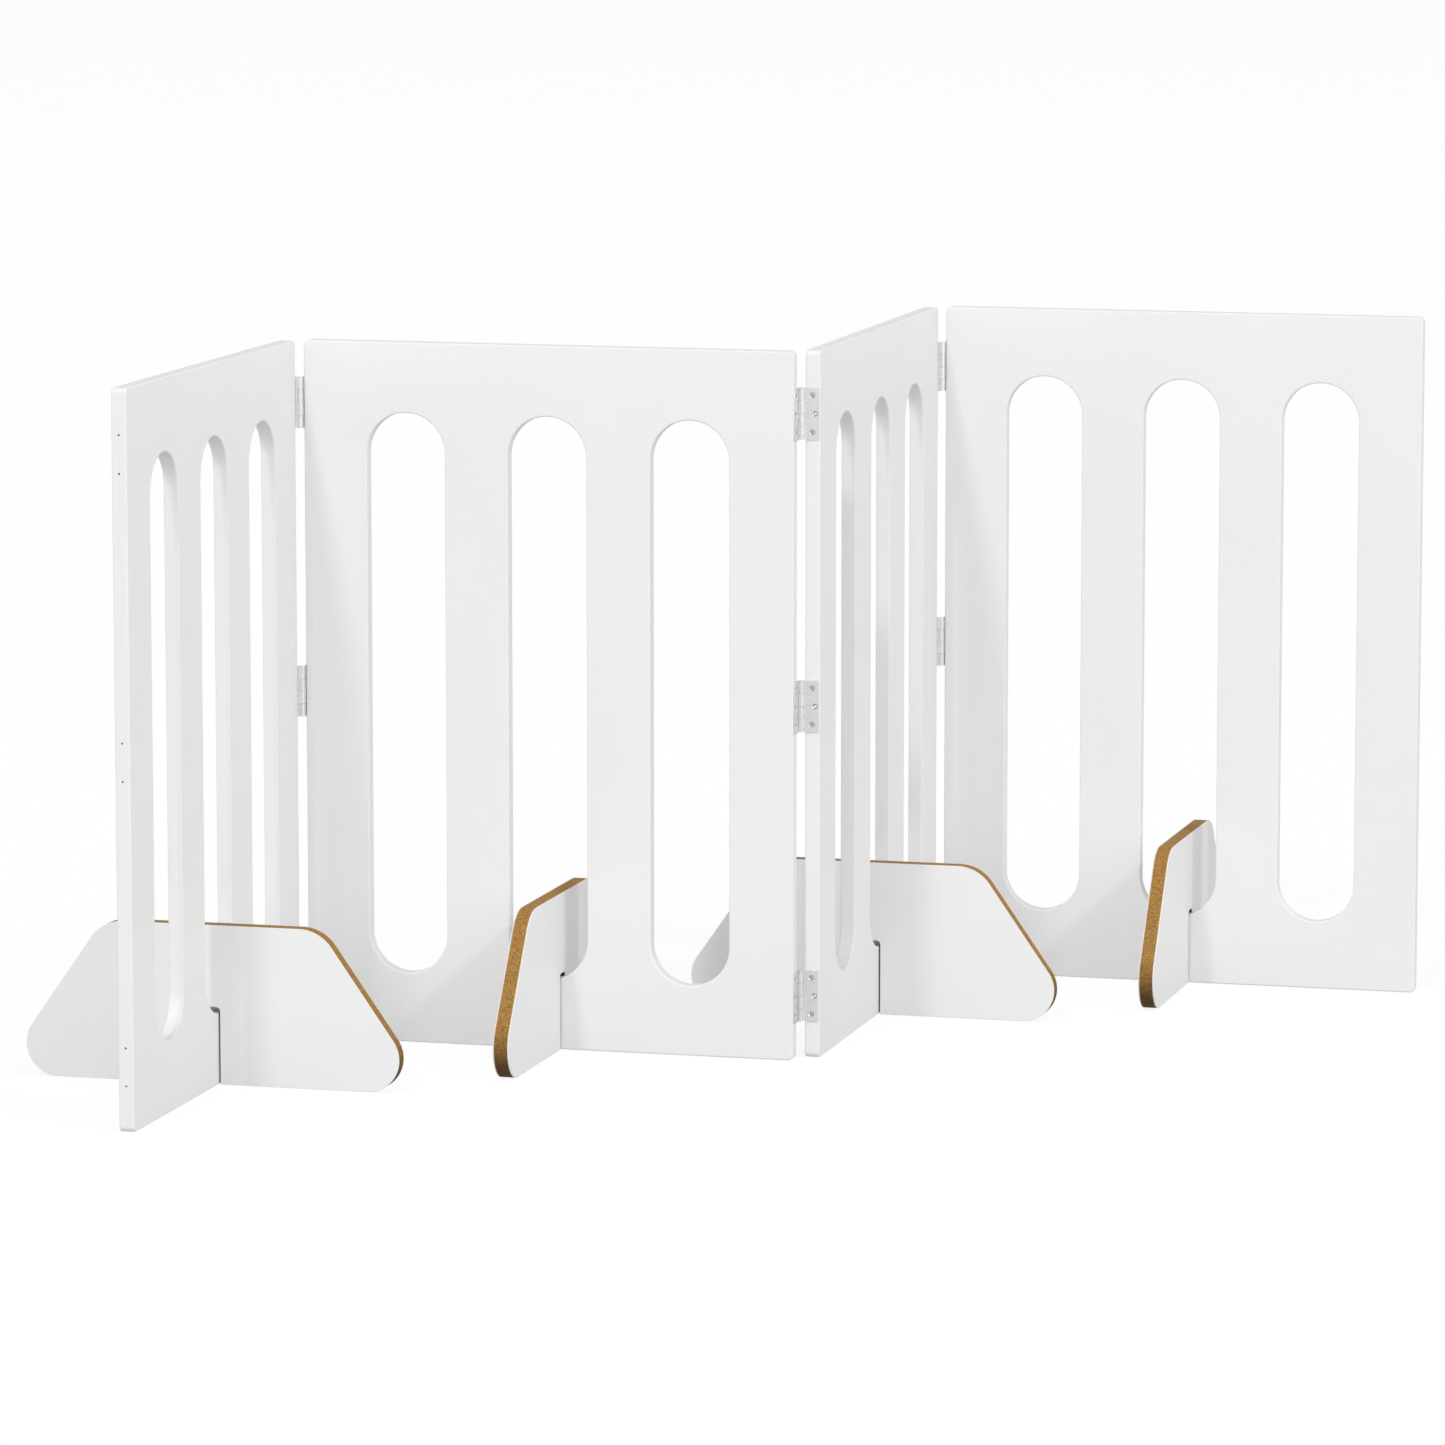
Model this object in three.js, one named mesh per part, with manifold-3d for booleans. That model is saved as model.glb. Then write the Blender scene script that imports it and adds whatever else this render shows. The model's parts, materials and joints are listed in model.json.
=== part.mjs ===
// Folding pet gate: four slotted board panels in a zigzag, nine butt hinges and four lift-off feet.
// Millimetres, +Z up. Panel 2 runs along +X with its front face on y = 0; the group is centred at the end.

import * as THREE from 'three';
import { mergeVertices } from 'three/addons/utils/BufferGeometryUtils.js';
import Module from 'manifold-3d';

// ---- driving sizes: boards ----
const panelWidth = 500;
const panelHeight = 700;
const panelThickness = 15;
const panelCornerRadius = 5.5;
const panelEdgeEase = 1.6;
const slotCount = 3;
const slotWidth = 80;
const railHeight = 70;

// ---- driving sizes: feet ----
const footLength = 380;
const footHeight = 156;
const footThickness = 16;
const footFlankAngle = THREE.MathUtils.degToRad(35);
const footBottomRadius = 32;
const footTopRadius = 40;
const footShift = 4.5;
const notchSideGap = 1.5;
const notchHeadroom = 4;
const notchCornerRadius = 4;

// ---- driving sizes: hinges ----
const hingeHeight = 51;
const hingeEndDistance = 62;
const leafThickness = 1.2;
const leafEdgeMargin = 1.2;
const barrelRadius = 2.9;
const pinClearance = 0.1;
const pinOut = 3.5;
const knuckleCount = 4;
const knuckleGap = 0.3;
const seatGap = 0.1;
const screwSpacing = 36;
const screwLineFromLeafEdge = 6.5;
const spareHoleFromLeafEdge = 3.5;

// ---- driving sizes: screws and their holes ----
const screwLength = 16;
const screwHeadRadius = 2.6;
const screwShankRadius = 1.35;
const screwTipLength = 3;
const screwRecess = 0.1;
const countersinkGap = 0.3;
const shankGap = 0.35;
const pilotRadius = 1.15;
const pilotDepth = 15;

// ---- facets (a shape's arc gets twice its curveSegments) ----
const arcSegments = 14;
const barrelSegments = 16;
const holeSegments = 12;
const pilotSegments = 8;

// ---- sizes worked out from the ones above ----
const barWidth = (panelWidth - slotCount * slotWidth) / (slotCount + 1);
const slotPitch = slotWidth + barWidth;
const slotRadius = slotWidth / 2;
const boreRadius = barrelRadius - leafThickness;
const pinRadius = boreRadius - pinClearance;
const pinToEdge = barrelRadius + seatGap;
const leafReach = pinOut + panelThickness - leafEdgeMargin;
const screwLine = leafReach - screwLineFromLeafEdge;
const spareHoleLine = leafReach - spareHoleFromLeafEdge;
const screwHoleInset = screwLine - pinOut;
const countersinkRadius = screwHeadRadius + countersinkGap;
const screwHoleRadius = screwShankRadius + shankGap;
const screwHoleDepth = screwLength + 2;
const footReach = footShift + footThickness / 2;
const railTopAtFoot = railHeight + slotRadius - Math.sqrt(slotRadius ** 2 - footReach ** 2);
const notchHeight = railTopAtFoot + notchHeadroom;
const notchWidth = panelThickness + 2 * notchSideGap;
const hingeCentres = {
  bottom: hingeEndDistance,
  middle: panelHeight / 2,
  top: panelHeight - hingeEndDistance,
};
const screwedHinges = ['bottom', 'top'];

const wasm = await Module();
wasm.setup();

const whitePaint = { color: 0xf1f1ef, roughness: 0.5, metalness: 0 };
const footPaint = { color: 0xefeeeb, roughness: 0.55, metalness: 0 };
const hingeSteel = { color: 0xb9babb, roughness: 0.38, metalness: 0.9 };
const pinSteel = { color: 0xa9aaac, roughness: 0.32, metalness: 0.95 };
const screwSteel = { color: 0xc6c6c4, roughness: 0.3, metalness: 0.95 };

function makeMesh(name, geometry, look) {
  const mesh = new THREE.Mesh(geometry, new THREE.MeshStandardMaterial(look));
  mesh.name = name;
  return mesh;
}

function toSolid(geometry) {
  const bare = geometry.clone();
  bare.deleteAttribute('normal');
  bare.deleteAttribute('uv');
  const merged = mergeVertices(bare, 1e-4);
  return new wasm.Manifold(new wasm.Mesh({
    numProp: 3,
    vertProperties: new Float32Array(merged.attributes.position.array),
    triVerts: new Uint32Array(merged.index.array),
  }));
}

function toGeometry(solid) {
  const mesh = solid.getMesh();
  const geometry = new THREE.BufferGeometry();
  geometry.setAttribute('position', new THREE.BufferAttribute(mesh.vertProperties, 3));
  geometry.setIndex(new THREE.BufferAttribute(mesh.triVerts, 1));
  geometry.computeVertexNormals();
  return geometry;
}

// A closed outline through [x, y, radius] corners given anticlockwise, each one rounded by an arc.
function roundedOutline(corners) {
  const shape = new THREE.Shape();
  corners.forEach(([x, y, radius], index) => {
    const corner = new THREE.Vector2(x, y);
    const before = corners[(index + corners.length - 1) % corners.length];
    const after = corners[(index + 1) % corners.length];
    const toBefore = new THREE.Vector2(before[0], before[1]).sub(corner).normalize();
    const toAfter = new THREE.Vector2(after[0], after[1]).sub(corner).normalize();
    if (radius === 0) {
      if (index === 0) shape.moveTo(x, y);
      else shape.lineTo(x, y);
      return;
    }
    const halfAngle = Math.acos(toBefore.dot(toAfter)) / 2;
    const start = corner.clone().addScaledVector(toBefore, radius / Math.tan(halfAngle));
    const end = corner.clone().addScaledVector(toAfter, radius / Math.tan(halfAngle));
    const inward = toBefore.clone().add(toAfter).normalize();
    const centre = corner.clone().addScaledVector(inward, radius / Math.sin(halfAngle));
    const clockwise = toAfter.cross(toBefore) < 0;
    if (index === 0) shape.moveTo(start.x, start.y);
    else shape.lineTo(start.x, start.y);
    const startAngle = Math.atan2(start.y - centre.y, start.x - centre.x);
    const endAngle = Math.atan2(end.y - centre.y, end.x - centre.x);
    shape.absarc(centre.x, centre.y, radius, startAngle, endAngle, clockwise);
  });
  shape.closePath();
  return shape;
}

// Turns a shape drawn in x and z into a plate that is centred on y = 0.
function uprightPlate(shape, thickness, segments, ease = 0) {
  const geometry = new THREE.ExtrudeGeometry(shape, {
    depth: thickness - 2 * ease,
    curveSegments: segments / 2,
    bevelEnabled: ease > 0,
    bevelThickness: ease,
    bevelSize: ease,
    bevelOffset: -ease,
    bevelSegments: 2,
  });
  geometry.translate(0, 0, ease - thickness / 2);
  geometry.rotateX(Math.PI / 2);
  return geometry;
}

// ---- panel boards ----

function slotPath(centreX) {
  const path = new THREE.Path();
  path.absarc(centreX, panelHeight - railHeight - slotRadius, slotRadius, 0, Math.PI, false);
  path.absarc(centreX, railHeight + slotRadius, slotRadius, Math.PI, 2 * Math.PI, false);
  path.closePath();
  return path;
}

function panelOutline() {
  const shape = roundedOutline([
    [0, 0, panelCornerRadius],
    [panelWidth, 0, panelCornerRadius],
    [panelWidth, panelHeight, panelCornerRadius],
    [0, panelHeight, panelCornerRadius],
  ]);
  for (let index = 0; index < slotCount; index += 1) {
    shape.holes.push(slotPath(barWidth + slotRadius + index * slotPitch));
  }
  return shape;
}

// A blind hole into one end of a board: endX is 0 or panelWidth, y runs from -half to +half thickness.
function endHole(endX, y, z, radius, depth, segments) {
  const overrun = 1;
  const geometry = new THREE.CylinderGeometry(radius, radius, depth + overrun, segments);
  geometry.rotateZ(Math.PI / 2);
  const inward = endX === 0 ? 1 : -1;
  geometry.translate(endX + inward * (depth - overrun) / 2, y, z);
  return toSolid(geometry);
}

// knuckleSide is +1 where the hinge barrel stands out of the +y face at that end, -1 for the -y face.
function endHoles(endX, knuckleSide, hinged) {
  const y = knuckleSide * (panelThickness / 2 - screwHoleInset);
  return Object.values(hingeCentres).flatMap((centre) => [-1, 1].map((side) => {
    const z = centre + side * screwSpacing / 2;
    return hinged
      ? endHole(endX, y, z, screwHoleRadius, screwHoleDepth, holeSegments)
      : endHole(endX, y, z, pilotRadius, pilotDepth, pilotSegments);
  }));
}

// startSide is the knuckle side at x = 0; the other end always has the opposite one.
function makePanel(number, startSide, startHinged, endHinged) {
  const board = toSolid(uprightPlate(panelOutline(), panelThickness, arcSegments, panelEdgeEase));
  const holes = [
    ...endHoles(0, startSide, startHinged),
    ...endHoles(panelWidth, -startSide, endHinged),
  ];
  const drilled = holes.reduce((solid, hole) => solid.subtract(hole), board);
  return makeMesh(`panel_${number}`, toGeometry(drilled), whitePaint);
}

// ---- feet ----

function footOutline() {
  const slope = Math.tan(footFlankAngle);
  const cornerAngle = Math.PI / 2 - footFlankAngle;
  const bottomHalf = footLength / 2 - footBottomRadius + footBottomRadius / Math.tan(cornerAngle / 2);
  const topHalf = bottomHalf - slope * footHeight;
  const notchHalf = notchWidth / 2;
  return roundedOutline([
    [notchHalf, 0, 0],
    [bottomHalf, 0, footBottomRadius],
    [topHalf, footHeight, footTopRadius],
    [-topHalf, footHeight, footTopRadius],
    [-bottomHalf, 0, footBottomRadius],
    [-notchHalf, 0, 0],
    [-notchHalf, notchHeight, notchCornerRadius],
    [notchHalf, notchHeight, notchCornerRadius],
  ]);
}

function makeFoot(number) {
  const geometry = uprightPlate(footOutline(), footThickness, arcSegments);
  geometry.rotateZ(Math.PI / 2);
  const foot = makeMesh(`foot_${number}`, toGeometry(toSolid(geometry)), footPaint);
  foot.position.x = panelWidth / 2 + footShift;
  return foot;
}

// ---- hinges: the pin axis is the z axis, the leaf runs along +x and its back is on y = barrelRadius ----

function knuckle(index) {
  const pitch = hingeHeight / knuckleCount;
  const flat = Math.sqrt(barrelRadius ** 2 - boreRadius ** 2);
  const shape = new THREE.Shape();
  const root = barrelRadius + 2 * knuckleGap;
  shape.moveTo(root, barrelRadius);
  shape.lineTo(0, barrelRadius);
  shape.absarc(0, 0, barrelRadius, Math.PI / 2, 2 * Math.PI + Math.atan2(boreRadius, flat), false);
  shape.lineTo(root, boreRadius);
  shape.closePath();
  const bore = new THREE.Path();
  bore.absarc(0, 0, boreRadius, 0, 2 * Math.PI, false);
  shape.holes.push(bore);
  const geometry = new THREE.ExtrudeGeometry(shape, {
    depth: pitch - knuckleGap,
    curveSegments: barrelSegments / 2,
    bevelEnabled: false,
  });
  geometry.translate(0, 0, hingeHeight / 2 - (index + 1) * pitch + knuckleGap / 2);
  return toSolid(geometry);
}

function leafPlate() {
  const cornerRadius = 1;
  const half = hingeHeight / 2;
  const start = barrelRadius + knuckleGap;
  const shape = roundedOutline([
    [start, -half, 0],
    [leafReach, -half, cornerRadius],
    [leafReach, half, cornerRadius],
    [start, half, 0],
  ]);
  const geometry = uprightPlate(shape, leafThickness, 2);
  geometry.translate(0, barrelRadius - leafThickness / 2, 0);
  return toSolid(geometry);
}

// The cone is widest at the leaf's open side, where y = boreRadius, and narrows at 45 degrees.
function countersink(x, z) {
  const overrun = 0.2;
  const narrow = countersinkRadius - leafThickness - overrun;
  const height = leafThickness + 2 * overrun;
  const geometry = new THREE.CylinderGeometry(narrow, countersinkRadius + overrun, height, holeSegments);
  geometry.translate(x, boreRadius + leafThickness / 2, z);
  return toSolid(geometry);
}

function leafGeometry() {
  const first = knuckle(0);
  const second = knuckle(2);
  const plate = leafPlate().add(first).add(second);
  return toGeometry(plate
    .subtract(countersink(screwLine, screwSpacing / 2))
    .subtract(countersink(screwLine, -screwSpacing / 2))
    .subtract(countersink(spareHoleLine, 0)));
}

// A countersunk screw that points along +y with its head flush in the leaf.
function screwGeometry() {
  const coneDepth = screwHeadRadius - screwShankRadius;
  const profile = [
    new THREE.Vector2(0, screwLength),
    new THREE.Vector2(screwShankRadius, screwLength - screwTipLength),
    new THREE.Vector2(screwShankRadius, coneDepth),
    new THREE.Vector2(screwHeadRadius, 0),
    new THREE.Vector2(0, 0),
  ];
  const geometry = new THREE.LatheGeometry(profile.reverse(), holeSegments);
  geometry.translate(0, boreRadius + screwRecess, 0);
  return toGeometry(toSolid(geometry));
}

function pinGeometry() {
  const endInset = 0.3;
  const geometry = new THREE.CylinderGeometry(pinRadius, pinRadius, hingeHeight - 2 * endInset, barrelSegments);
  geometry.rotateX(Math.PI / 2);
  return toGeometry(toSolid(geometry));
}

const sharedLeaf = leafGeometry();
const sharedScrew = screwGeometry();
const sharedPin = pinGeometry();

function makeLeaf(hingeName, panelNumber, screwed) {
  const leaf = new THREE.Group();
  leaf.add(makeMesh(`${hingeName}_leaf_panel_${panelNumber}`, sharedLeaf, hingeSteel));
  if (!screwed) return leaf;
  for (const side of [-1, 1]) {
    const name = `${hingeName}_screw_panel_${panelNumber}_${side > 0 ? 'a' : 'b'}`;
    const screw = makeMesh(name, sharedScrew, screwSteel);
    screw.position.set(screwLine, 0, side * screwSpacing / 2);
    leaf.add(screw);
  }
  return leaf;
}

// The second leaf is the same pressing turned upside down, so its knuckles fall between the first one's.
function makeHinge(jointName, place, frontPanel, sidePanel) {
  const name = `hinge_${jointName}_${place}`;
  const screwed = screwedHinges.includes(place);
  const hinge = new THREE.Group();
  const sideLeaf = makeLeaf(name, sidePanel, screwed);
  const frontLeaf = makeLeaf(name, frontPanel, screwed);
  frontLeaf.rotation.set(Math.PI, 0, -Math.PI / 2, 'ZYX');
  hinge.add(sideLeaf, frontLeaf, makeMesh(`${name}_pin`, sharedPin, pinSteel));
  hinge.position.z = hingeCentres[place];
  return hinge;
}

function makeHingeLine(jointName, frontPanel, sidePanel, pinX, pinY, turn) {
  const line = new THREE.Group();
  for (const place of Object.keys(hingeCentres)) {
    line.add(makeHinge(jointName, place, frontPanel, sidePanel));
  }
  line.position.set(pinX, pinY, 0);
  line.rotation.z = turn;
  return line;
}

// ---- the gate ----

// Panels 1 and 3 run along +y and are turned over, so their barrels stand out of the opposite faces.
function makeSection(number, cornerX, cornerY, alongY) {
  const section = new THREE.Group();
  const startSide = alongY ? 1 : -1;
  section.add(makePanel(number, startSide, number > 1, number < 4), makeFoot(number));
  const half = panelThickness / 2;
  section.position.set(cornerX + (alongY ? half : 0), cornerY + (alongY ? 0 : half), 0);
  section.rotation.z = alongY ? Math.PI / 2 : 0;
  return section;
}

function makeGate() {
  const step = pinToEdge + pinOut;
  const gate = new THREE.Group();
  const panel3X = panelWidth + step;
  const panel3Y = panelThickness + step;
  const panel4X = panel3X + panelThickness + step;
  const panel4Y = panel3Y + panelWidth + step;
  gate.add(
    makeSection(1, -step - panelThickness, -step - panelWidth, true),
    makeSection(2, 0, 0, false),
    makeSection(3, panel3X, panel3Y, true),
    makeSection(4, panel4X, panel4Y, false),
    makeHingeLine('12', 2, 1, -pinToEdge, -pinOut, Math.PI),
    makeHingeLine('23', 2, 3, panelWidth + pinToEdge, panelThickness + pinOut, 0),
    makeHingeLine('34', 4, 3, panel4X - pinToEdge, panel4Y - pinOut, Math.PI),
  );
  const box = new THREE.Box3().setFromObject(gate);
  const centre = box.getCenter(new THREE.Vector3());
  gate.position.set(-centre.x, -centre.y, -box.min.z);
  return gate;
}

export default makeGate();
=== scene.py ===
"""Looks of a folding pet gate: four slotted boards, four lift-off feet and nine butt hinges.

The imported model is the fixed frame. Each piece here is built in metres in that frame, stands for the plain
solid of the same part, and rides on the body that the solid rides on.
"""

import json
import logging
import math
from collections.abc import Iterable, Sequence
from dataclasses import dataclass, field
from enum import Enum
from typing import Any, ClassVar

import bmesh
import bpy
from bmesh.types import BMesh, BMFace, BMVert
from bpy.types import Material, Mesh, Node, NodeSocket, NodeTree, Object
from mathutils import Matrix, Vector
from mathutils.geometry import tessellate_polygon

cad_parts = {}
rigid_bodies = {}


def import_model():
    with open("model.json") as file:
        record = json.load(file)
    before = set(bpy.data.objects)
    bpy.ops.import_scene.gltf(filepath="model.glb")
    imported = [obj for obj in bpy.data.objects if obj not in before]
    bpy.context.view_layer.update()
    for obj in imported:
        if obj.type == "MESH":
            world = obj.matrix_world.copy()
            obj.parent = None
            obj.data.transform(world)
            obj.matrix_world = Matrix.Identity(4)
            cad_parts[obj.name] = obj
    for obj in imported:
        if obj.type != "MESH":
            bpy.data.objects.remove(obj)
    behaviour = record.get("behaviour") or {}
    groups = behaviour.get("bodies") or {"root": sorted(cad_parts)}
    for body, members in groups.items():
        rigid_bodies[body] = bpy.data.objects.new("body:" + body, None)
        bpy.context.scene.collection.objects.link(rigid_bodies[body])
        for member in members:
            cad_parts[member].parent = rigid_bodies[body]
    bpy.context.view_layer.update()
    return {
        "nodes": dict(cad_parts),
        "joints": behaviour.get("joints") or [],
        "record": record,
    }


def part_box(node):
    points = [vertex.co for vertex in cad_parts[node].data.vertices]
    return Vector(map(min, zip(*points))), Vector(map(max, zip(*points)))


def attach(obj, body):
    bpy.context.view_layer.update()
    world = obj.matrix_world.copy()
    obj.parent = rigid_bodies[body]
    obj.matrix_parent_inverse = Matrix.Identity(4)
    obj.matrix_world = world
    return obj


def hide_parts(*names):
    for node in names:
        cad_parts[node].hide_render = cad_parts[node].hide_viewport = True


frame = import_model()

LOG = logging.getLogger("pet_gate")
COLOUR_MIX_INPUTS = (6, 7)
COLOUR_MIX_OUTPUT = 2
MM = 0.001
SHARP_TURN = math.radians(32.0)
Point = tuple[float, float]
Colour = tuple[float, float, float]
Window = tuple[float, float]


class Place(Enum):
    """Where a hinge sits on the joint between two boards."""

    BOTTOM = "bottom"
    MIDDLE = "middle"
    TOP = "top"


class Surface(Enum):
    """The material slots of a board or foot mesh, by index."""

    FACE = 0
    CUT_EDGE = 1


# ---- Node graphs ----


class Graph:
    """A thin wrapper that adds and links nodes in a shader or geometry tree."""

    def __init__(self, tree: NodeTree) -> None:
        """Keeps the tree and empties it.

        Args:
            tree: The node tree to fill.
        """
        self.tree = tree
        tree.nodes.clear()

    def add(self, kind: str, settings: dict[str, Any] | None = None, **inputs: Any) -> Node:
        """Adds a node and sets or links its inputs.

        Args:
            kind: The node's type name.
            settings: Properties of the node itself.
            **inputs: As in set.

        Returns:
            The new node.
        """
        node = self.tree.nodes.new(kind)
        for key, value in (settings or {}).items():
            setattr(node, key, value)
        self.set(node, **inputs)
        return node

    def set(self, node: Node, **inputs: Any) -> None:
        """Sets or links a node's inputs.

        Args:
            node: The node.
            **inputs: Input names, with _ for a space, and a value or the socket that feeds each.
        """
        for key, value in inputs.items():
            self.feed(node.inputs[key.replace("_", " ")], value)

    def feed(self, socket: NodeSocket, value: Any) -> None:
        """Links value to the socket when value is a socket, and stores it there otherwise.

        Args:
            socket: The input.
            value: A socket or a plain value.
        """
        if isinstance(value, NodeSocket):
            self.tree.links.new(value, socket)
        else:
            socket.default_value = value

    def math(self, operation: str, first: Any, second: Any = 0.0) -> NodeSocket:
        """Adds a math node.

        Args:
            operation: The operation's name.
            first: The first operand, a number or a socket.
            second: The second operand, a number or a socket.

        Returns:
            The result's socket.
        """
        node = self.add("ShaderNodeMath", {"operation": operation})
        self.feed(node.inputs[0], first)
        self.feed(node.inputs[1], second)
        return node.outputs[0]

    def times(self, first: Any, second: Any) -> NodeSocket:
        """Multiplies two numbers or sockets."""
        return self.math("MULTIPLY", first, second)

    def remap(self, value: Any, window: Window, result: Window = (0.0, 1.0)) -> NodeSocket:
        """Adds a clamped linear remap.

        Args:
            value: The number's socket.
            window: The two values that map to the ends of result.
            result: The two ends of the answer.

        Returns:
            The result's socket.
        """
        ends = {"From_Min": window[0], "From_Max": window[1], "To_Min": result[0], "To_Max": result[1]}
        return self.add("ShaderNodeMapRange", Value=value, **ends).outputs["Result"]

    def mix(self, factor: Any, first: Any, second: Any) -> NodeSocket:
        """Adds a colour mix.

        Args:
            factor: 0 for the first colour, 1 for the second.
            first: The first colour or its socket.
            second: The second colour or its socket.

        Returns:
            The mixed colour's socket.
        """
        node = self.add("ShaderNodeMix", {"data_type": "RGBA"})
        self.feed(node.inputs[0], factor)
        for index, colour in zip(COLOUR_MIX_INPUTS, (first, second)):
            value = colour if isinstance(colour, NodeSocket) else rgba(colour)
            self.feed(node.inputs[index], value)
        return node.outputs[COLOUR_MIX_OUTPUT]

    def noise(self, vector: Any, size: float, detail: float = 2.0, rough: float = 0.5) -> NodeSocket:
        """Adds a noise whose features are about size metres across, and returns its value's socket."""
        node = self.add("ShaderNodeTexNoise", Vector=vector, Scale=1.0 / size, Detail=detail, Roughness=rough)
        return node.outputs[0]

    def stretched(self, vector: Any, scale: Colour) -> NodeSocket:
        """Scales a coordinate along each axis, so a pattern read from it is drawn out."""
        return self.add("ShaderNodeMapping", Vector=vector, Scale=scale).outputs[0]

    def place(self) -> NodeSocket:
        """Returns the socket of the place on the piece."""
        return self.add("ShaderNodeTexCoord").outputs["Object"]

    def attribute(self, name: str) -> NodeSocket:
        """Returns the socket of a number that the piece's mesh carries."""
        return self.add("ShaderNodeAttribute", {"attribute_name": name}).outputs["Fac"]

    def bump(self, height: Any) -> NodeSocket:
        """Turns a height in metres into the surface's normal."""
        return self.add("ShaderNodeBump", Strength=1.0, Distance=1.0, Height=height).outputs[0]


def rgba(colour: Colour) -> tuple[float, float, float, float]:
    """Returns a linear colour with full alpha."""
    return (*colour, 1.0)


def surface_graph(name: str) -> tuple[Material, Graph, Node]:
    """Starts a material that has one Principled shader.

    Args:
        name: The material's name.

    Returns:
        The material, its graph and the Principled node.
    """
    material = bpy.data.materials.new(name)
    material.use_nodes = True
    graph = Graph(material.node_tree)
    shader = graph.add("ShaderNodeBsdfPrincipled")
    graph.add("ShaderNodeOutputMaterial", Surface=shader.outputs[0])
    return material, graph, shader


# ---- Finishes ----


@dataclass(frozen=True)
class PaintFinish:
    """White satin lacquer, sprayed over fibreboard, that lies a little rougher on the cut edges."""

    name: str = "white_satin_paint"
    colour: Colour = (0.905, 0.905, 0.903)
    deep_colour: Colour = (0.888, 0.888, 0.886)
    roughness: float = 0.40
    roughness_swing: float = 0.04
    edge_roughness: float = 0.56
    cloud_size: float = 0.16
    tone_window: Window = (0.3, 0.7)
    stipple_size: float = 0.0016
    stipple_depth: float = 0.00005
    edge_grain_size: float = 0.0007
    edge_grain_depth: float = 0.0001
    speck_window: Window = (0.62, 0.8)
    speck_share: float = 0.12
    speck_shade: float = 0.8

    def material(self) -> Material:
        """Builds the paint, with its slow tone changes, its spray stipple and the raised fibre of its edges.

        Returns:
            The material.
        """
        material, graph, shader = surface_graph(self.name)
        place = graph.place()
        edge = graph.attribute("cut_edge")
        cloud = graph.remap(graph.noise(place, self.cloud_size, 3.0), self.tone_window)
        stipple = graph.noise(place, self.stipple_size)
        grain = graph.noise(place, self.edge_grain_size, 3.0, 0.65)
        tone = graph.mix(cloud, self.colour, self.deep_colour)
        speck = graph.times(graph.remap(grain, self.speck_window, (0.0, self.speck_share)), edge)
        speck_colour = tuple(self.speck_shade * c for c in self.deep_colour)
        swing = (self.roughness - self.roughness_swing, self.roughness + self.roughness_swing)
        gloss = graph.remap(stipple, self.tone_window, swing)
        lift = graph.times(edge, self.edge_roughness - self.roughness)
        face_height = graph.times(stipple, self.stipple_depth)
        edge_height = graph.times(graph.times(grain, edge), self.edge_grain_depth)
        graph.set(
            shader,
            Base_Color=graph.mix(speck, tone, speck_colour),
            Roughness=graph.math("ADD", gloss, lift),
            Normal=graph.bump(graph.math("ADD", face_height, edge_height)),
        )
        return material


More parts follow.
